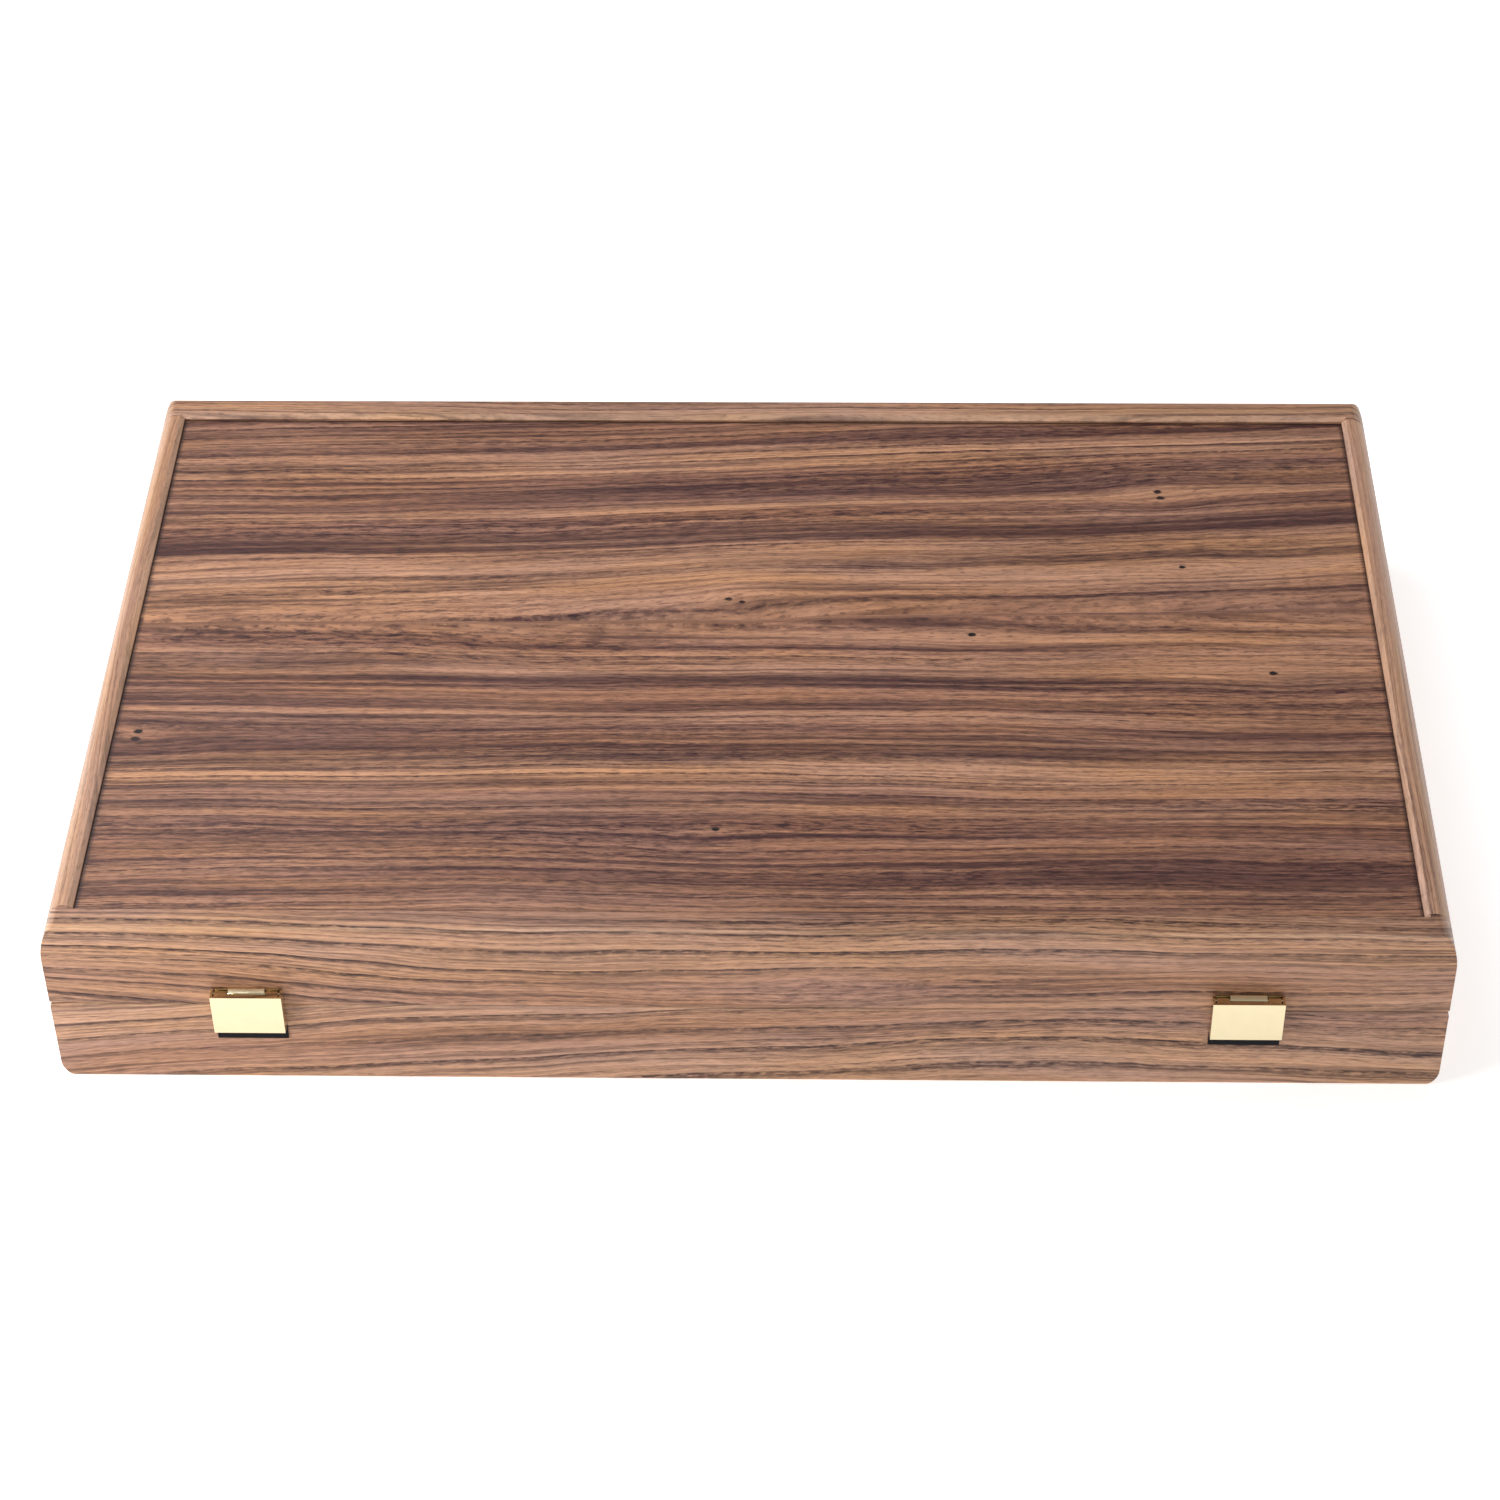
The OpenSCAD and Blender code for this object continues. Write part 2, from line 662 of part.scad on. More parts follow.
module right_hinge_base_leaf() { color(brass) translate([hinge_x, 0, 0]) hinge_leaf(outer_spans); }
module right_hinge_lid_leaf() { color(brass) lid_side() translate([hinge_x, 0, 0]) hinge_leaf(middle_spans); }
module right_hinge_pin() { color(brass) translate([hinge_x, 0, 0]) hinge_pin(); }
module hinge_screws_base() { color(brass) hinge_screws(); }
module hinge_screws_lid() { color(brass) lid_side() hinge_screws(); }
module left_latch_plate() { color(brass) translate([-latch_x, 0, 0]) latch_plate(); }
module left_latch_flap() { color(brass) translate([-latch_x, 0, 0]) latch_flap(); }
module left_latch_pin() { color(brass) translate([-latch_x, 0, 0]) latch_pin(); }
module left_latch_strike() { color(bronze) translate([-latch_x, 0, 0]) latch_strike(); }
module right_latch_plate() { color(brass) translate([latch_x, 0, 0]) latch_plate(); }
module right_latch_flap() { color(brass) translate([latch_x, 0, 0]) latch_flap(); }
module right_latch_pin() { color(brass) translate([latch_x, 0, 0]) latch_pin(); }
module right_latch_strike() { color(bronze) translate([latch_x, 0, 0]) latch_strike(); }
module latch_plate_screws() { color(brass) both_latches() latch_screws_at(plate_screw_z); }
module strike_screws() { color(bronze) both_latches() latch_screws_at(strike_screw_z); }
module light_rook_left() { color(boxwood) lay(4) rook(); }
module light_knight_left() { color(boxwood) lay(5) knight(); }
module light_bishop_left() { color(boxwood) lay(6) bishop(); }
module light_queen() { color(boxwood) lay(7) queen(); }
module light_king() { color(boxwood) lay(8) king(); }
module light_bishop_right() { color(boxwood) lay(9) bishop(); }
module light_knight_right() { color(boxwood) lay(10) knight(); }
module light_rook_right() { color(boxwood) lay(11) rook(); }
module light_pawns() { color(boxwood) pawns(); }
module dark_rook_left() { color(ebony) lid_side() lay(4) rook(); }
module dark_knight_left() { color(ebony) lid_side() lay(5) knight(); }
module dark_bishop_left() { color(ebony) lid_side() lay(6) bishop(); }
module dark_queen() { color(ebony) lid_side() lay(7) queen(); }
module dark_king() { color(ebony) lid_side() lay(8) king(); }
module dark_bishop_right() { color(ebony) lid_side() lay(9) bishop(); }
module dark_knight_right() { color(ebony) lid_side() lay(10) knight(); }
module dark_rook_right() { color(ebony) lid_side() lay(11) rook(); }
module dark_pawns() { color(ebony) lid_side() pawns(); }

base_front_rail();
base_rear_rail();
base_left_rail();
base_right_rail();
base_panel();
base_board_leaf();
base_light_squares();
base_dark_squares();
base_divider();
base_foot_cradle();
base_neck_cradle();
base_rack_felt();
lid_front_rail();
lid_rear_rail();
lid_left_rail();
lid_right_rail();
lid_panel();
lid_board_leaf();
lid_light_squares();
lid_dark_squares();
lid_divider();
lid_foot_cradle();
lid_neck_cradle();
lid_rack_felt();
left_hinge_base_leaf();
left_hinge_lid_leaf();
left_hinge_pin();
right_hinge_base_leaf();
right_hinge_lid_leaf();
right_hinge_pin();
hinge_screws_base();
hinge_screws_lid();
left_latch_plate();
left_latch_flap();
left_latch_pin();
left_latch_strike();
right_latch_plate();
right_latch_flap();
right_latch_pin();
right_latch_strike();
latch_plate_screws();
strike_screws();
light_rook_left();
light_knight_left();
light_bishop_left();
light_queen();
light_king();
light_bishop_right();
light_knight_right();
light_rook_right();
light_pawns();
dark_rook_left();
dark_knight_left();
dark_bishop_left();
dark_queen();
dark_king();
dark_bishop_right();
dark_knight_right();
dark_rook_right();
dark_pawns();
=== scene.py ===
"""Chess set in a folding walnut case: camera, light, materials and the turned men. Metres."""
import json
import math

import bmesh
import bpy
import numpy as np
from mathutils import Matrix, Vector


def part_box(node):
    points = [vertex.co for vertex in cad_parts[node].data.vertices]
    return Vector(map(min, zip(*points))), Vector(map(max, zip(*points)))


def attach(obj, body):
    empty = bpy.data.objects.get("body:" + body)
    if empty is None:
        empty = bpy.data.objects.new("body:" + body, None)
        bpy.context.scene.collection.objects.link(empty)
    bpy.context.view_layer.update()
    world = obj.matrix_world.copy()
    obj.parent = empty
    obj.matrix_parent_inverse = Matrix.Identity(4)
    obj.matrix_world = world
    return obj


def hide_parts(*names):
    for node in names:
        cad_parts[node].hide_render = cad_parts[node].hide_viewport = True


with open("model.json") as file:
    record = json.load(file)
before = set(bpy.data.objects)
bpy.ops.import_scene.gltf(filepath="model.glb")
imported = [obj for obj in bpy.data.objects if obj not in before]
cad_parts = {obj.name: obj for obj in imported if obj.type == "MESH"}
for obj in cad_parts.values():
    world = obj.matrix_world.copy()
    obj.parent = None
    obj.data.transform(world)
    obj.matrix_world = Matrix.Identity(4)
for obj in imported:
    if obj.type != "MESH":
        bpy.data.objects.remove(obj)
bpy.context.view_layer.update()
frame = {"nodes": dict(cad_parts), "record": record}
MM = 0.001

# ---- places worked out from the frame ------------------------------------------------------

CASE_LOW, CASE_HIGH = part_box("lid_front_rail")
HALF_WIDTH = CASE_HIGH.x
FRONT_Y = CASE_LOW.y
REAR_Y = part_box("lid_rear_rail")[1].y
PANEL_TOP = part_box("lid_panel")[1].z
CENTRE_Y = (FRONT_Y + REAR_Y) / 2
WALL = CASE_HIGH.y - CASE_LOW.y
HALF_OPENING = HALF_WIDTH - WALL
HALF_DEPTH = (REAR_Y - FRONT_Y) / 2 - WALL


# ---- node helpers --------------------------------------------------------------------------

class Shader:
    """A material's node tree with short calls to build it."""

    def __init__(self, name):
        self.material = bpy.data.materials.new(name)
        self.material.use_nodes = True
        self.tree = self.material.node_tree
        self.bsdf = self.tree.nodes["Principled BSDF"]

    def link(self, value, socket):
        """Joins an output to a socket, or sets the socket to a plain value."""
        if hasattr(value, "is_output"):
            self.tree.links.new(value, socket)
        elif value is not None:
            socket.default_value = value

    def node(self, kind, **inputs):
        made = self.tree.nodes.new("ShaderNode" + kind)
        for key, value in inputs.items():
            self.link(value, made.inputs[key.replace("_", " ")])
        return made

    def place(self):
        return self.node("TexCoord").outputs["Object"]

    def noise(self, vector, scale, detail, roughness=0.5):
        made = self.node("TexNoise")
        self.link(vector, made.inputs["Vector"])
        made.inputs["Scale"].default_value = scale
        made.inputs["Detail"].default_value = detail
        made.inputs["Roughness"].default_value = roughness
        return made.outputs["Fac"]

    def maths(self, operation, a, b=None, c=None):
        made = self.tree.nodes.new("ShaderNodeMath")
        made.operation = operation
        for socket, value in zip(made.inputs, (a, b, c)):
            self.link(value, socket)
        return made.outputs[0]

    def product(self, *values):
        """Several numbers multiplied together."""
        total = values[0]
        for value in values[1:]:
            total = self.maths("MULTIPLY", total, value)
        return total

    def vector(self, operation, a, b=None):
        made = self.tree.nodes.new("ShaderNodeVectorMath")
        made.operation = operation
        for socket, value in zip(made.inputs, (a, b)):
            self.link(value, socket)
        return made.outputs["Value" if operation == "LENGTH" else "Vector"]

    def ramp(self, fac, *stops):
        """A colour ramp: each stop is a position and a colour, or a plain grey."""
        made = self.tree.nodes.new("ShaderNodeValToRGB")
        self.link(fac, made.inputs["Fac"])
        elements = made.color_ramp.elements
        while len(elements) < len(stops):
            elements.new(0.5)
        for element, (position, colour) in zip(elements, stops):
            element.position = position
            value = colour if isinstance(colour, tuple) else (colour, colour, colour)
            element.color = (*value, 1)
        return made.outputs["Color"]

    def between(self, fac, low, high, to_low=0.0, to_high=1.0):
        """Maps low to high onto to_low to to_high, clamped."""
        made = self.tree.nodes.new("ShaderNodeMapRange")
        self.link(fac, made.inputs["Value"])
        keys = ("From Min", "From Max", "To Min", "To Max")
        for key, value in zip(keys, (low, high, to_low, to_high)):
            made.inputs[key].default_value = value
        return made.outputs["Result"]

    def mix(self, fac, a, b, kind="MIX"):
        made = self.tree.nodes.new("ShaderNodeMix")
        made.data_type = "RGBA"
        made.blend_type = kind
        self.link(fac, made.inputs[0])
        self.link(a if hasattr(a, "is_output") else (*a, 1), made.inputs[6])
        self.link(b if hasattr(b, "is_output") else (*b, 1), made.inputs[7])
        return made.outputs[2]

    def bump(self, height, distance, strength=1.0):
        made = self.tree.nodes.new("ShaderNodeBump")
        made.inputs["Distance"].default_value = distance
        made.inputs["Strength"].default_value = strength
        self.link(height, made.inputs["Height"])
        self.link(made.outputs["Normal"], self.bsdf.inputs["Normal"])

    def finish(self, **values):
        for key, value in values.items():
            self.link(value, self.bsdf.inputs[key.replace("_", " ")])
        return self.material


def srgb(r, g, b):
    """A colour given in 0 to 255 display values, as linear light."""
    parts = (v / 255 for v in (r, g, b))
    return tuple(v / 12.92 if v <= 0.04 else ((v + 0.055) / 1.055) ** 2.4 for v in parts)


def blend(a, b, share):
    """Two colours mixed."""
    return tuple(p + (q - p) * share for p, q in zip(a, b))


def scaled(colour, factor):
    return tuple(c * factor for c in colour)


def brightness(colour):
    return 0.2126 * colour[0] + 0.7152 * colour[1] + 0.0722 * colour[2]


# ---- materials -----------------------------------------------------------------------------

# Each wood is drawn along its grain: a figure gives the coordinate along the grain and the one across
# the rings. The last number of a grain noise or a wave is its seed.

def long_and_across(s, grain, over):
    """Coordinates along the grain and across it; over carries the figure round the piece's outer edge."""
    split = s.node("SeparateXYZ", Vector=s.place())
    along = split.outputs["X" if grain == "x" else "Y"]
    side = split.outputs["Y" if grain == "x" else "X"]
    return along, s.maths("MULTIPLY_ADD", side, over, split.outputs["Z"])


def grain_noise(s, along, across, long_scale, cross_scale, detail, roughness, seed):
    """Noise drawn out along the grain. The scales are waves per metre."""
    vector = s.node("CombineXYZ", X=s.maths("MULTIPLY", along, long_scale),
                    Y=s.maths("MULTIPLY", across, cross_scale), Z=seed).outputs[0]
    return s.noise(vector, 1.0, detail, roughness)


def swayed(s, along, across, *waves):
    """Bends the rings: each wave is (long scale, cross scale, height, seed)."""
    for long_scale, cross_scale, height, seed in waves:
        wave = grain_noise(s, along, across, long_scale, cross_scale, 1, 0.5, seed)
        across = s.maths("ADD", across, s.between(wave, 0, 1, -height, height))
    return across


def ring_lines(s, along, across, count, sharp, seed):
    """Thin dark late-wood lines, count a metre: each ring darkens slowly and ends at a clear edge."""
    drift = grain_noise(s, along, across, 0.7, 45, 2, 0.5, seed)
    phase = s.maths("MULTIPLY_ADD", across, count, s.maths("MULTIPLY", drift, 1.6))
    saw = s.maths("FRACT", phase)
    line = s.product(s.maths("POWER", saw, sharp), s.between(saw, 0.955, 1.0, 1.15, 0))
    which = s.maths("MULTIPLY", s.maths("FLOOR", phase), 7.31)
    keep = s.between(grain_noise(s, along, which, 4.0, 1.0, 1, 0.5, seed + 3), 0.32, 0.55, 0.1, 1)
    broken = s.between(grain_noise(s, along, across, 260, 900, 2, 0.6, seed + 1), 0.36, 0.56, 0.5, 1.1)
    return s.product(line, keep, broken)


def finish_wood(s, along, across, colour, light, dark, streak, beads, pores, roughness):
    """Adds tint, fibre, flecks, pores and the surface to a wood's broad figure. Light bands are calmer."""
    depth = s.node("RGBToBW", Color=colour).outputs[0]
    busy = s.between(depth, 0.3 * brightness(light), 0.85 * brightness(light), 1.0, 0.3)
    tint = grain_noise(s, along, across, 9, 75, 3, 0.6, 31)
    tints = s.ramp(tint, (0.35, (1.05, 0.99, 0.87)), (0.65, (0.97, 0.98, 1.09)))
    colour = s.mix(1.0, colour, tints, "MULTIPLY")
    fibre = grain_noise(s, along, across, 14, 900, 4, 0.7, 5)
    colour = s.mix(1.0, colour, s.ramp(fibre, (0.3, 1 - streak), (0.7, 1 + streak)), "MULTIPLY")
    patch = s.between(grain_noise(s, along, across, 4, 55, 2, 0.5, 2), 0.42, 0.6)
    hair = s.between(grain_noise(s, along, across, 7, 420, 3, 0.65, 11), 0.5, 0.66)
    colour = s.mix(s.maths("MULTIPLY", hair, beads), colour, dark)
    feather = s.between(grain_noise(s, along, across, 110, 1000, 3, 0.7, 8), 0.5, 0.6)
    colour = s.mix(s.product(feather, patch, busy, beads * 1.5), colour, dark)
    fleck = grain_noise(s, along, across, 130, 1250, 2, 0.6, 14)
    pale = (1 + 1.2 * streak, 1 + 1.2 * streak, 1 + streak)
    tones = s.ramp(fleck, (0.36, pale), (0.5, 1.0), (0.66, 1 - 2.2 * streak))
    colour = s.mix(busy, colour, s.mix(1.0, colour, tones, "MULTIPLY"))
    dash = s.between(grain_noise(s, along, across, 240, 2400, 1, 0.5, 6), 0.58, 0.7)
    colour = s.mix(s.maths("MULTIPLY", dash, pores), colour, dark)
    s.bump(s.maths("MULTIPLY_ADD", dash, -1.0, s.maths("MULTIPLY", fibre, 0.5)), 0.12 * MM, 0.5)
    rough = s.between(fibre, 0.2, 0.8, roughness - 0.05, roughness + 0.07)
    return s.finish(Base_Color=colour, Roughness=rough, Specular_IOR_Level=0.25)


def plain_wood(name, grain, over, seed, light, mid, dark, rings=90.0, line=0.7, sharp=5.0, sway=0.006,
               sweep=0.0, tilt=0.0, streak=0.12, beads=0.3, pores=0.25, roughness=0.42, slope_highlight=0.0):
    """Broad bands, ring lines and fibre. Sweep, tilt and sway bend the rings; sloped faces are painted
    paler as a highlight.
    """
    s = Shader(name)
    along, across = long_and_across(s, grain, over)
    from_bend = s.maths("SUBTRACT", along, 0.03)
    curve = s.maths("MULTIPLY_ADD", s.maths("POWER", from_bend, 2.0), -sweep, seed)
    across = s.maths("ADD", s.maths("MULTIPLY_ADD", along, -tilt, across), curve)
    across = swayed(s, along, across, (3.2, 9, sway, seed), (11, 40, sway * 0.16, seed + 2),
                    (60, 160, sway * 0.03, seed + 4))
    band = grain_noise(s, along, across, 1.1, 38, 2, 0.5, seed + 7)
    colour = s.ramp(band, (0.3, mid), (0.5, blend(light, mid, 0.5)), (0.7, light))
    drawn = ring_lines(s, along, across, rings, sharp, seed)
    colour = s.mix(s.maths("MULTIPLY", drawn, line), colour, dark)
    fine = ring_lines(s, along, across, rings * 2.7, sharp * 0.6, seed + 9)
    colour = s.mix(s.maths("MULTIPLY", fine, line * 0.45), colour, dark)
    # Painted highlight: faces that slope between flat and upright, the bevels and roundings, are lightened
    # as if lit.
    if slope_highlight:
        facing = s.node("SeparateXYZ", Vector=s.node("TexCoord").outputs["Normal"]).outputs["Z"]
        up = s.maths("ABSOLUTE", facing)
        slope = s.product(s.between(up, 0.35, 0.5), s.between(up, 0.97, 0.88), slope_highlight)
        colour = s.mix(slope, colour, PAINTED_SLOPE_HIGHLIGHT)
    return finish_wood(s, along, across, colour, light, dark, streak, beads, pores, roughness)


def painted_edge_shade(s):
    """Painted shade: a dark line on a panel along the rails, where the recess falls into shade."""
    split = s.node("SeparateXYZ", Vector=s.place())
    line = 1.8 * MM
    off_x = s.maths("ABSOLUTE", split.outputs["X"])
    off_y = s.maths("ABSOLUTE", s.maths("SUBTRACT", split.outputs["Y"], CENTRE_Y))
    side = s.between(off_x, HALF_OPENING - line, HALF_OPENING, 0, 0.9)
    end = s.between(off_y, HALF_DEPTH - line, HALF_DEPTH, 0, 0.9)
    return s.maths("MAXIMUM", side, end)


def parted(s, along, y, x0, y0):
    """Bends y so that the rings part round a knot."""
    off_x = s.maths("MULTIPLY", s.maths("SUBTRACT", along, x0), 55.0)
    off_y = s.maths("SUBTRACT", y, y0)
    near = s.maths("ADD", s.maths("POWER", off_x, 2.0),
                   s.maths("POWER", s.maths("MULTIPLY", off_y, 160.0), 2.0))
    return s.maths("MULTIPLY_ADD", s.maths("DIVIDE", off_y, s.maths("ADD", near, 1.0)), -0.55, y)


def knot(s, colour, x0, y0, size, halo_colour):
    """A pin knot: a dark ragged spot in a faint halo."""
    from_knot = s.vector("SUBTRACT", s.place(), (x0, y0, PANEL_TOP))
    away = s.vector("LENGTH", s.vector("MULTIPLY", from_knot, (0.55, 0.8, 0)))
    halo = s.vector("LENGTH", s.vector("MULTIPLY", from_knot, (0.3, 1, 0)))
    colour = s.mix(s.between(halo, size, size * 4.0, 0.35, 0), colour, halo_colour)
    ragged = s.maths("MULTIPLY_ADD", s.noise(s.place(), 1500, 2), size * 0.8, away)
    return s.mix(s.between(ragged, size * 1.15, size * 1.6, 1, 0), colour, KNOT_BLACK)


def crown_walnut(name, light, mid, dark, knots):
    """Crown-cut veneer: rings that close to points round a long axis, near-parallel lines outside."""
    s = Shader(name)
    split = s.node("SeparateXYZ", Vector=s.place())
    along, y = split.outputs["X"], split.outputs["Y"]
    for x0, y0, _ in knots:
        y = parted(s, along, y, x0, y0)
    axis_slope, axis_y, blunt, taper = 0.03, 0.0196, 0.012, 0.023
    off_axis = s.maths("SUBTRACT", y, s.maths("MULTIPLY_ADD", along, axis_slope, axis_y))
    off_axis = swayed(s, along, off_axis, (3.0, 6, 0.007, 1.0), (9, 26, 0.0026, 2.0),
                      (30, 90, 0.0007, 4.0), (90, 260, 0.00025, 3.0))
    radius = s.maths("SQRT", s.maths("MULTIPLY_ADD", off_axis, off_axis, blunt ** 2))
    ring = s.maths("MULTIPLY_ADD", along, -taper, radius)
    upper = s.between(off_axis, -0.008, 0.008)
    sign = s.between(off_axis, -0.001, 0.001, -1, 1)
    across = s.maths("MULTIPLY", ring, sign)

    def at(reach, *bands):
        """Colour bands by distance in mm from the figure's axis, for a ring at mid length."""
        return s.ramp(s.maths("DIVIDE", ring, reach * MM), *((d / reach, c) for d, c in bands))

    tan, half, deep = blend(mid, light, 0.6), blend(mid, dark, 0.35), blend(mid, dark, 0.8)
    rear = at(125.0, (8, half), (16, tan), (24, light), (36, light), (43, tan), (46, deep), (51.5, deep),
              (54, half), (63, mid), (66, light), (69, half), (81, half), (87, mid), (92, light),
              (99, light), (104, half), (110, half), (114, tan), (121, half))
    front = at(165.0, (8, mid), (14, tan), (21, mid), (26, tan), (34, tan), (37.5, deep), (41, mid),
               (48, mid), (49.5, deep), (52, mid), (56, tan), (65, mid), (70, half), (78, deep),
               (81, light), (90, light), (94, tan), (101, mid), (102, deep), (105, tan), (113, half),
               (120, mid), (140, half), (158, tan))
    colour = s.mix(upper, front, rear)
    cloud = grain_noise(s, along, across, 3.5, 46, 3, 0.6, 17)
    colour = s.mix(s.between(cloud, 0.52, 0.72, 0, 0.5), colour, light)
    colour = s.mix(s.between(cloud, 0.48, 0.3, 0, 0.5), colour, dark)
    stripe = grain_noise(s, along, across, 2.2, 240, 3, 0.6, 23)
    colour = s.mix(s.between(stripe, 0.5, 0.36, 0, 0.4), colour, light)
    colour = s.mix(s.between(stripe, 0.5, 0.64, 0, 0.55), colour, dark)

    # many lines away from the axis, few and soft near it
    outer = s.between(ring, 0.035, 0.075, 0.25, 1.0)
    line = ring_lines(s, along, across, 190.0, 3.6, 1.0)
    colour = s.mix(s.product(line, outer, 0.95), colour, dark)
    few = ring_lines(s, along, across, 75.0, 9.0, 6.0)
    colour = s.mix(few, colour, dark)
    for x0, y0, size in knots:
        colour = knot(s, colour, x0, y0, size, blend(light, dark, 0.3))
    # Painted shade along the panel's edges by the rails.
    colour = s.mix(painted_edge_shade(s), colour, EDGE_SHADE_DARK)
    return finish_wood(s, along, across, colour, light, dark, streak=0.22, beads=0.7, pores=0.5,
                       roughness=0.42)


def brass(name, colour, roughness):
    """Polished metal with faint brushing and wear."""
    s = Shader(name)
    hair = s.noise(s.vector("MULTIPLY", s.place(), (900, 40, 4000)), 1, 3)
    cloud = s.noise(s.place(), 220, 2)
    tarnish = s.ramp(cloud, (0.3, scaled(colour, 0.96)), (0.7, colour))
    tone = s.mix(1.0, tarnish, s.ramp(hair, (0.3, 0.985), (0.7, 1.0)), "MULTIPLY")
    s.bump(hair, 0.01 * MM, 0.25)
    rough = s.between(cloud, 0.3, 0.7, roughness, roughness * 1.5)
    return s.finish(Base_Color=tone, Metallic=1.0, Roughness=rough)


def felt(name, colour):
    """Short wool fibres with a soft sheen."""
    s = Shader(name)
    fuzz = s.noise(s.place(), 2600, 4, 0.7)
    clump = s.noise(s.place(), 300, 3)
    fibres = s.ramp(fuzz, (0.3, scaled(colour, 0.55)), (0.7, scaled(colour, 1.35)))
    tone = s.mix(1.0, fibres, s.ramp(clump, (0.3, 0.85), (0.7, 1.1)), "MULTIPLY")
    s.bump(fuzz, 0.25 * MM, 0.8)
    return s.finish(Base_Color=tone, Roughness=0.95, Sheen_Weight=0.35, Specular_IOR_Level=0.15)


def pin_knots():
    """Pin knots, as fractions of the panel from its left and front edges, with their sizes in mm."""
    spots = [(0.018, 0.316, 1.0), (0.019, 0.33, 0.9), (0.478, 0.604, 0.8), (0.489, 0.598, 0.7),
             (0.836, 0.842, 0.9), (0.838, 0.828, 0.9), (0.675, 0.532, 0.9), (0.913, 0.456, 0.9),
             (0.85, 0.676, 0.7), (0.475, 0.152, 0.8)]
    left, front = -HALF_OPENING, FRONT_Y + WALL
    return [(left + 2 * HALF_OPENING * a, front + 2 * HALF_DEPTH * b, size * MM) for a, b, size in spots]


# The colour of the painted highlight on the rails' sloped faces.
PAINTED_SLOPE_HIGHLIGHT = srgb(236, 200, 172)
KNOT_BLACK = (0.008, 0.004, 0.004)
# The colour of the painted shade along the panel's edges.
EDGE_SHADE_DARK = (0.006, 0.004, 0.004)
RAIL = dict(light=srgb(202, 158, 126), mid=srgb(162, 118, 96), dark=srgb(50, 26, 28), rings=150, line=1.0,
            sharp=3.6, sway=0.018, streak=0.2, beads=0.6, slope_highlight=0.32)
MATERIALS = {
    "rail_walnut": plain_wood("walnut_front_rail", "x", 1.0, 0.31, sweep=0.18, **RAIL),
    "panel_walnut": crown_walnut("walnut_panel", srgb(200, 150, 116), srgb(160, 114, 92),
                                 srgb(62, 32, 34), pin_knots()),
    "maple": plain_wood("maple", "x", 1.0, 0.7, srgb(240, 217, 176), srgb(229, 200, 154),
                        srgb(202, 164, 112), rings=60, line=0.25, streak=0.05, beads=0.05, pores=0.08,
                        roughness=0.36),
    "dark_walnut": plain_wood("dark_walnut", "x", 1.0, 0.5, srgb(112, 76, 56), srgb(84, 53, 40),
                              srgb(46, 28, 22), rings=110, line=0.6, streak=0.15, roughness=0.36),
    "boxwood": plain_wood("boxwood", "y", 1.0, 0.9, srgb(232, 200, 146), srgb(219, 182, 126),
                          srgb(190, 148, 96), rings=130, line=0.25, sway=0.002, streak=0.06, beads=0.05,
                          pores=0.06, roughness=0.3),
    "ebonised_wood": plain_wood("ebonised_wood", "y", 1.0, 0.4, srgb(84, 58, 46), srgb(58, 38, 30),
                                srgb(28, 18, 15), rings=130, line=0.5, sway=0.002, streak=0.12, beads=0.2,
                                pores=0.2, roughness=0.28),
    "cradle_felt": felt("cradle_felt", srgb(34, 78, 58)),
    "floor_felt": felt("floor_felt", srgb(30, 70, 52)),
    "polished_brass": brass("polished_brass", (0.77, 0.67, 0.44), 0.12),
    # Painted reflection: the strike plate, polished brass in the object, is given a near-black colour so
    # that it shows as the dark strip below the flap.
    "dark_bronze": brass("dark_bronze", (0.012, 0.012, 0.014), 0.35),
}
BASE_RAIL = dict(RAIL, light=srgb(208, 166, 136), mid=srgb(172, 129, 105), rings=95, line=0.9,
                 sway=0.02, tilt=0.045)
# Painted highlight: the side rails are drawn in paler tones than the other rails, as if lit, the right one
# most; the left keeps a darker middle tone.
SIDE_RAIL_LIT = dict(RAIL, light=srgb(214, 170, 138), mid=srgb(182, 138, 112), line=0.5, beads=0.35,
                 streak=0.14)
BASE_WALNUT = plain_wood("walnut_base_front", "x", 1.0, 0.37, **BASE_RAIL)
REAR_WALNUT = plain_wood("walnut_rear_rail", "x", -1.7, 0.57, **dict(RAIL, line=0.7))
LEFT_WALNUT = plain_wood("walnut_left_rail", "y", 1.7, 0.13, **dict(SIDE_RAIL_LIT, mid=srgb(164, 122, 98)))
RIGHT_WALNUT = plain_wood("walnut_right_rail", "y", -1.7, 0.83, **SIDE_RAIL_LIT)
INNER_WALNUT = plain_wood("walnut_inside", "x", 1.0, 0.21, **RAIL)


def dress_nodes():
    """Gives every CAD node its slot's material, and some walnut nodes a grain of their own."""
    own = {"base_front_rail": BASE_WALNUT, "rear_rail": REAR_WALNUT, "left_rail": LEFT_WALNUT,
           "right_rail": RIGHT_WALNUT, "divider": INNER_WALNUT, "board_leaf": INNER_WALNUT}
    for part in frame["record"]["subparts"]:
        node = frame["nodes"][part["node"]]
        material = MATERIALS[part["material_slot"]]
        for ending, wood in own.items():
            if part["node"].endswith(ending):
                material = wood
        for slot in node.material_slots:
            slot.material = material


def soften(node, width):
    """Breaks a CAD node's edges by a little. Modifiers only, so its mesh stays as it is."""
    weld = node.modifiers.new("weld", "WELD")
    weld.merge_threshold = 0.002 * MM
    flat = node.modifiers.new("flat", "DECIMATE")
    flat.decimate_type = "DISSOLVE"
    flat.angle_limit = math.radians(0.3)
    bevel = node.modifiers.new("edges", "BEVEL")
    bevel.width = width
    bevel.segments = 2
    bevel.limit_method = "ANGLE"
    bevel.angle_limit = math.radians(40)
    bevel.harden_normals = True


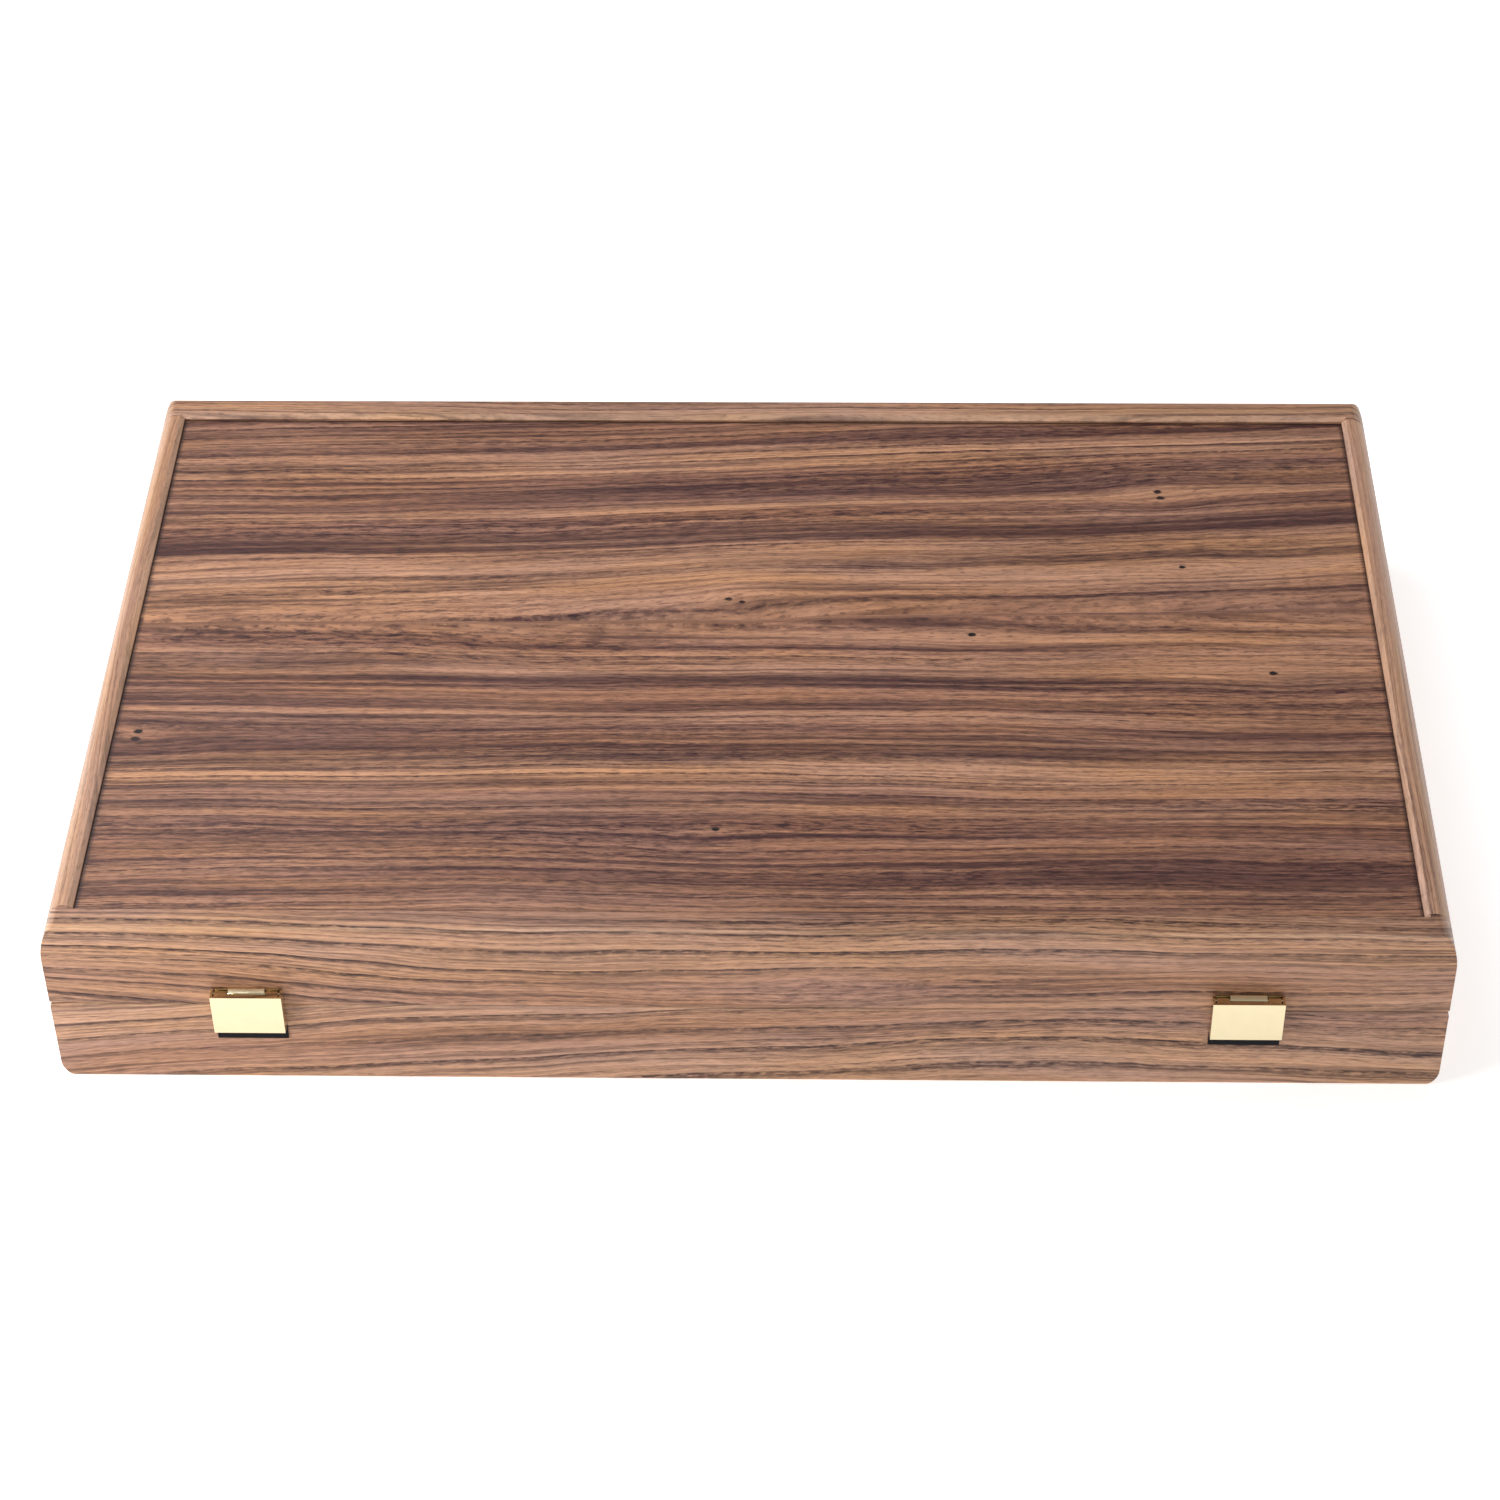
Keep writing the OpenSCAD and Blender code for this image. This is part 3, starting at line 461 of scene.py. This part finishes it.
# ---- pieces made here ----------------------------------------------------------------------

def new_piece(name, mesh, body, slot, *nodes):
    """An object in the row frame that rides on a body and stands for CAD nodes, if any are named."""
    piece = bpy.data.objects.new(name, mesh)
    bpy.context.scene.collection.objects.link(piece)
    mesh.materials.clear()
    mesh.materials.append(MATERIALS[slot])
    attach(piece, body)
    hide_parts(*nodes)
    return piece


def baked(piece):
    """The piece's mesh with its modifiers applied."""
    shown = piece.evaluated_get(bpy.context.evaluated_depsgraph_get())
    mesh = bpy.data.meshes.new_from_object(shown)
    piece.modifiers.clear()
    piece.data = mesh
    return piece


def move_along_normals(mesh, distance):
    """Moves each vertex along its normal by distance(x, y, z), with the three as arrays."""
    places = np.empty(len(mesh.vertices) * 3)
    normals = np.empty(len(mesh.vertices) * 3)
    mesh.vertices.foreach_get("co", places)
    mesh.vertex_normals.foreach_get("vector", normals)
    places, normals = places.reshape(-1, 3), normals.reshape(-1, 3)
    places += normals * distance(*places.T)[:, None]
    mesh.vertices.foreach_set("co", places.ravel())
    mesh.update()


def string_inlay(half):
    """A pale line let into a leaf round three sides of its squares; the hinge line is the open side."""
    squares_low, squares_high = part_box(half + "_light_squares")
    leaf_low, leaf_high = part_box(half + "_board_leaf")
    face, out = (leaf_high.z, 1) if half == "base" else (leaf_low.z, -1)
    gap, width, sunk, proud = 1.4 * MM, 0.9 * MM, 0.3 * MM, 0.02 * MM
    inner, outer = squares_high.x + gap, squares_high.x + gap + width
    near = squares_low.y - gap
    outline = [(-outer, REAR_Y), (-outer, near - width), (outer, near - width), (outer, REAR_Y),
               (inner, REAR_Y), (inner, near), (-inner, near), (-inner, REAR_Y)]
    made = bmesh.new()
    levels = [[made.verts.new((x, y, face + z * out)) for x, y in outline] for z in (-sunk, proud)]
    for quad in ((0, 1, 6, 7), (1, 2, 5, 6), (2, 3, 4, 5)):
        made.faces.new([levels[1][i] for i in quad])
        made.faces.new([levels[0][i] for i in reversed(quad)])
    for i in range(8):
        j = (i + 1) % 8
        made.faces.new([levels[0][i], levels[0][j], levels[1][j], levels[1][i]])
    bmesh.ops.recalc_face_normals(made, faces=made.faces)
    mesh = bpy.data.meshes.new(half + "_string")
    made.to_mesh(mesh)
    return new_piece(half + "_string_inlay", mesh, half, "maple")


def felt_strip(half, number, y0, y1):
    """One strip of felt glued to the rack's floor, 1 mm thick, faintly uneven on top."""
    panel_low, panel_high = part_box(half + "_panel")
    floor, out = (panel_high.z, 1) if half == "base" else (panel_low.z, -1)
    inset = 0.2 * MM
    x0, x1 = inset - HALF_OPENING, HALF_OPENING - inset
    y0, y1 = y0 + inset, y1 - inset
    columns, rows = 300, max(6, int((y1 - y0) / (1.6 * MM)))
    made = bmesh.new()
    layers = []
    for top in (False, True):
        grid = []
        for i in range(columns + 1):
            for j in range(rows + 1):
                x, y = x0 + (x1 - x0) * i / columns, y0 + (y1 - y0) * j / rows
                edge = min(i, columns - i, j, rows - j) == 0
                wave = math.sin(x * 61 + y * 37) * math.sin(y * 83 - x * 29)
                wave += 0.6 * math.sin(x * 233 + y * 151)
                thick = ((0.7 if edge else 0.95) + 0.05 * wave) * MM if top else 0
                grid.append(made.verts.new((x, y, floor + thick * out)))
        layers.append(grid)
    at = lambda layer, i, j: layers[layer][i * (rows + 1) + j]
    corners = ((0, 0), (1, 0), (1, 1), (0, 1))
    for i in range(columns):
        for j in range(rows):
            for layer in (0, 1):
                made.faces.new([at(layer, i + a, j + b) for a, b in corners])
    rim = [(i, 0) for i in range(columns)] + [(columns, j) for j in range(rows)]
    rim += [(i, rows) for i in range(columns, 0, -1)] + [(0, j) for j in range(rows, 0, -1)]
    for a, b in zip(rim, rim[1:] + rim[:1]):
        made.faces.new([at(0, *a), at(0, *b), at(1, *b), at(1, *a)])
    bmesh.ops.recalc_face_normals(made, faces=made.faces)
    mesh = bpy.data.meshes.new("felt")
    made.to_mesh(mesh)
    mesh.shade_smooth()
    strip = new_piece(f"{half}_felt_{number}", mesh, half, "floor_felt", half + "_rack_felt")
    return strip


def soft_cradle(node, half):
    """A foam bar under felt, with the CAD bar's seats and edges that are rounded and a little uneven."""
    piece = new_piece(node + "_soft", frame["nodes"][node].data.copy(), half, "cradle_felt", node)
    remesh = piece.modifiers.new("remesh", "REMESH")
    remesh.mode = "VOXEL"
    remesh.voxel_size = 0.8 * MM
    smooth = piece.modifiers.new("smooth", "SMOOTH")
    smooth.factor = 0.5
    smooth.iterations = 5
    baked(piece)
    piece.data.shade_smooth()

    def uneven(x, y, z):
        return -MM * (0.06 + 0.05 * np.sin(x * 900 + z * 700) * np.sin(y * 1100 - x * 370))

    move_along_normals(piece.data, uneven)
    return piece


def bead(z, r, h, out):
    """Profile points (z, radius) of a ring that swells by out over a height h."""
    return [(z + h * i / 8, r + out * math.sin(math.pi * i / 8)) for i in range(9)]


def ellipsoid(made, x, y, z, rx, ry, rz, turn=0.0):
    place = Matrix.Translation((x, y, z)) @ Matrix.Rotation(math.radians(turn), 4, "Y")
    place = place @ Matrix.Diagonal((rx, ry, rz, 1))
    bmesh.ops.create_icosphere(made, subdivisions=3, radius=1, matrix=place)


def chain(made, points):
    """Ellipsoids run together between points of (x, z, radius in the profile, half thickness)."""
    steps = 5
    for a, b in zip(points, points[1:]):
        for i in range(steps):
            x, z, r, t = (p + (q - p) * i / steps for p, q in zip(a, b))
            ellipsoid(made, x, 0, z, r, t, r)
    x, z, r, t = points[-1]
    ellipsoid(made, x, 0, z, r, t, r)


def knight_lumps():
    """The knight's neck, head, jaw, ears and mane as lumps to be run together."""
    made = bmesh.new()
    chain(made, [(-0.3, 12.5, 7.4, 7.0), (-0.9, 17, 7.0, 6.2), (-1.9, 22, 6.4, 5.4), (-2.3, 27, 6.0, 4.9),
                 (-1.7, 32, 5.8, 4.7), (-0.4, 36.5, 5.2, 4.5), (1.0, 39.2, 4.0, 4.0)])
    chain(made, [(1.4, 38.8, 4.0, 4.1), (3.8, 36.0, 4.2, 4.1), (6.2, 32.8, 3.5, 3.4), (8.4, 30.2, 2.6, 2.8),
                 (9.4, 29.0, 2.2, 2.7)])
    ellipsoid(made, 2.6, 0, 33.6, 3.9, 4.9, 4.3, 35)
    ellipsoid(made, 8.7, 0, 28.0, 1.9, 2.2, 1.3, 40)
    ellipsoid(made, 1.5, 0, 18.0, 5.2, 5.4, 6.0)
    for side in (-1, 1):
        for i in range(9):
            t = i / 8
            ellipsoid(made, -0.4 - 0.9 * t, side * (2.3 + 0.2 * t), 42.0 + 4.9 * t,
                      1.5 - 1.15 * t, 1.1 - 0.75 * t, 1.0)
        ellipsoid(made, 4.4, side * 3.7, 37.2, 1.5, 0.9, 1.0, 40)
        ellipsoid(made, 9.3, side * 2.2, 29.8, 1.1, 0.9, 0.8, 40)
    crest = [(-6.6, 12.5), (-7.7, 17), (-8.2, 22), (-7.9, 27.5), (-6.9, 32.5), (-4.9, 37.5), (-2.4, 41.2),
             (1.4, 42.4)]
    for a, b in zip(crest, crest[1:]):
        for i in range(4):
            x, z = (p + (q - p) * i / 4 for p, q in zip(a, b))
            lean = math.degrees(math.atan2(b[0] - a[0], b[1] - a[1]))
            ellipsoid(made, x + 0.6, 0, z, 1.9, 2.5, 0.85, lean + 28)
    mesh = bpy.data.meshes.new("knight_head")
    made.to_mesh(mesh)
    return mesh


def carve(x, y, z):
    """Grooves cut into the knight's sides: mouth, eye, nostril, cheek and mane line."""
    cuts = [((10.6, 28.9), (7.6, 29.0), 0.35, 0.55), ((5.0, 36.4), (3.7, 37.6), 0.3, -0.25),
            ((10.2, 30.6), (10.0, 30.3), 0.45, 0.6), ((0.2, 30.6), (3.2, 29.6), 0.6, 0.4),
            ((-3.6, 36), (-5.6, 27), 0.5, 0.4), ((-5.6, 27), (-5.4, 16), 0.5, 0.4)]
    depth = np.zeros_like(x)
    for (ax, az), (bx, bz), width, cut in cuts:
        run_x, run_z = bx - ax, bz - az
        t = np.clip(((x - ax) * run_x + (z - az) * run_z) / (run_x ** 2 + run_z ** 2), 0, 1)
        depth -= cut * np.exp(-((x - ax - run_x * t) ** 2 + (z - az - run_z * t) ** 2) / width ** 2)
    return depth


def knight_mesh():
    """A knight standing at the origin, facing +X, in millimetres."""
    mesh = knight_lumps()
    head = bpy.data.objects.new("knight_head", mesh)
    bpy.context.scene.collection.objects.link(head)
    remesh = head.modifiers.new("remesh", "REMESH")
    remesh.mode = "VOXEL"
    remesh.voxel_size = 0.34
    smooth = head.modifiers.new("smooth", "SMOOTH")
    smooth.factor = 0.5
    smooth.iterations = 3
    baked(head)
    move_along_normals(head.data, carve)
    made = bmesh.new()
    made.from_mesh(head.data)
    bpy.data.objects.remove(head)
    profile = bead(0, 12.05, 4.4, 0.7) + bead(4.6, 10.15, 2.4, 0.9) + bead(7.2, 8.8, 2.6, 1.4)
    profile += [(10, 8.6), (12, 6)]
    sides = 96
    angles = [2 * math.pi * k / sides for k in range(sides)]
    rings = [[made.verts.new((r * math.cos(a), r * math.sin(a), z)) for a in angles] for z, r in profile]
    for lower, upper in zip(rings, rings[1:]):
        for k in range(sides):
            after = (k + 1) % sides
            made.faces.new([lower[k], lower[after], upper[after], upper[k]])
    made.faces.new(list(reversed(rings[0])))
    made.faces.new(rings[-1])
    mesh = bpy.data.meshes.new("knight")
    made.to_mesh(mesh)
    mesh.shade_smooth()
    return mesh


def add_knights():
    """Carved knights lie where the CAD ones do, foot to the front."""
    carved = knight_mesh()
    for node in ("light_knight_left", "light_knight_right", "dark_knight_left", "dark_knight_right"):
        low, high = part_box(node)
        mesh = carved.copy()
        place = Matrix.Translation(((low.x + high.x) / 2, low.y, (low.z + high.z) / 2))
        mesh.transform(place @ Matrix.Rotation(math.radians(-90), 4, "X") @ Matrix.Scale(MM, 4))
        half, wood = ("base", "boxwood") if node.startswith("light") else ("lid", "ebonised_wood")
        new_piece(node + "_carved", mesh, half, wood, node)


def add_pieces():
    for half in ("base", "lid"):
        string_inlay(half)
        foot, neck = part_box(half + "_foot_cradle"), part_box(half + "_neck_cradle")
        felt_strip(half, 1, foot[1].y, neck[0].y)
        felt_strip(half, 2, neck[1].y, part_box(half + "_divider")[0].y)
        soft_cradle(half + "_foot_cradle", half)
        soft_cradle(half + "_neck_cradle", half)
    add_knights()


# ---- camera, light and floor ---------------------------------------------------------------

def add_camera():
    """The camera looks down at the closed case from the front, a little from the right."""
    pitch, yaw, roll = math.radians(41.893), math.radians(-1.793), math.radians(-0.9)
    distance = 1.38845
    target = Vector((-0.002786, CENTRE_Y + 0.023124, 0))
    level, down = math.cos(pitch), math.sin(pitch)
    forward = Vector((math.sin(yaw) * level, math.cos(yaw) * level, -down))
    side = Vector((math.cos(yaw), -math.sin(yaw), 0))
    above = side.cross(forward)
    right = math.cos(roll) * side + math.sin(roll) * above
    up = math.cos(roll) * above - math.sin(roll) * side
    data = bpy.data.cameras.new("camera")
    data.sensor_width = 36
    data.lens = 86.48
    camera = bpy.data.objects.new("camera", data)
    bpy.context.scene.collection.objects.link(camera)
    turn = Matrix((right, up, -forward)).transposed().to_4x4()
    camera.matrix_world = Matrix.Translation(target - forward * distance) @ turn
    bpy.context.scene.camera = camera


def add_light(name, place, size, power, colour, aim):
    data = bpy.data.lights.new(name, "AREA")
    data.shape = "RECTANGLE"
    data.size, data.size_y = size
    data.energy = power
    data.color = colour
    light = bpy.data.objects.new(name, data)
    light.location = place
    light.rotation_euler = (Vector(aim) - Vector(place)).to_track_quat("-Z", "Y").to_euler()
    bpy.context.scene.collection.objects.link(light)


def add_studio():
    """A white floor, a key light from the front left, a soft fill from above and a weak white sky."""
    floor_mesh = bpy.data.meshes.new("floor")
    reach = 40.0
    corners = [(reach * a, reach * b, 0) for a, b in ((-1, -1), (1, -1), (1, 1), (-1, 1))]
    floor_mesh.from_pydata(corners, [], [(0, 1, 2, 3)])
    floor = bpy.data.objects.new("floor", floor_mesh)
    floor.location.z = -0.2 * MM
    bpy.context.scene.collection.objects.link(floor)
    s = Shader("paper")
    grain = s.ramp(s.noise(s.place(), 40, 2), (0.3, 0.93), (0.7, 0.95))
    paper = s.finish(Base_Color=grain, Roughness=0.9, Emission_Color=(1, 1, 1, 1), Emission_Strength=0.57)
    floor_mesh.materials.append(paper)
    world = bpy.data.worlds.new("sky")
    world.use_nodes = True
    sky = world.node_tree.nodes["Background"]
    sky.inputs["Color"].default_value = (1, 1, 1, 1)
    sky.inputs["Strength"].default_value = 0.44
    bpy.context.scene.world = world
    add_light("key", (-0.72, -0.55, 0.42), (0.25, 0.25), 4.0, (1, 0.97, 0.91), (-0.2, -0.15, 0.03))
    add_light("fill", (-0.55, 0.35, 1.1), (0.9, 0.8), 10, (0.96, 0.97, 1), (-0.05, 0.05, 0))
    bpy.context.scene.view_settings.view_transform = "Standard"


def soften_nodes():
    for name, node in frame["nodes"].items():
        if name.endswith(("_rail", "_board_leaf", "_divider")):
            soften(node, 0.25 * MM)
        if name.endswith(("_flap", "_latch_plate", "_latch_strike")):
            soften(node, 0.12 * MM)


add_camera()
add_studio()
dress_nodes()
add_pieces()
soften_nodes()
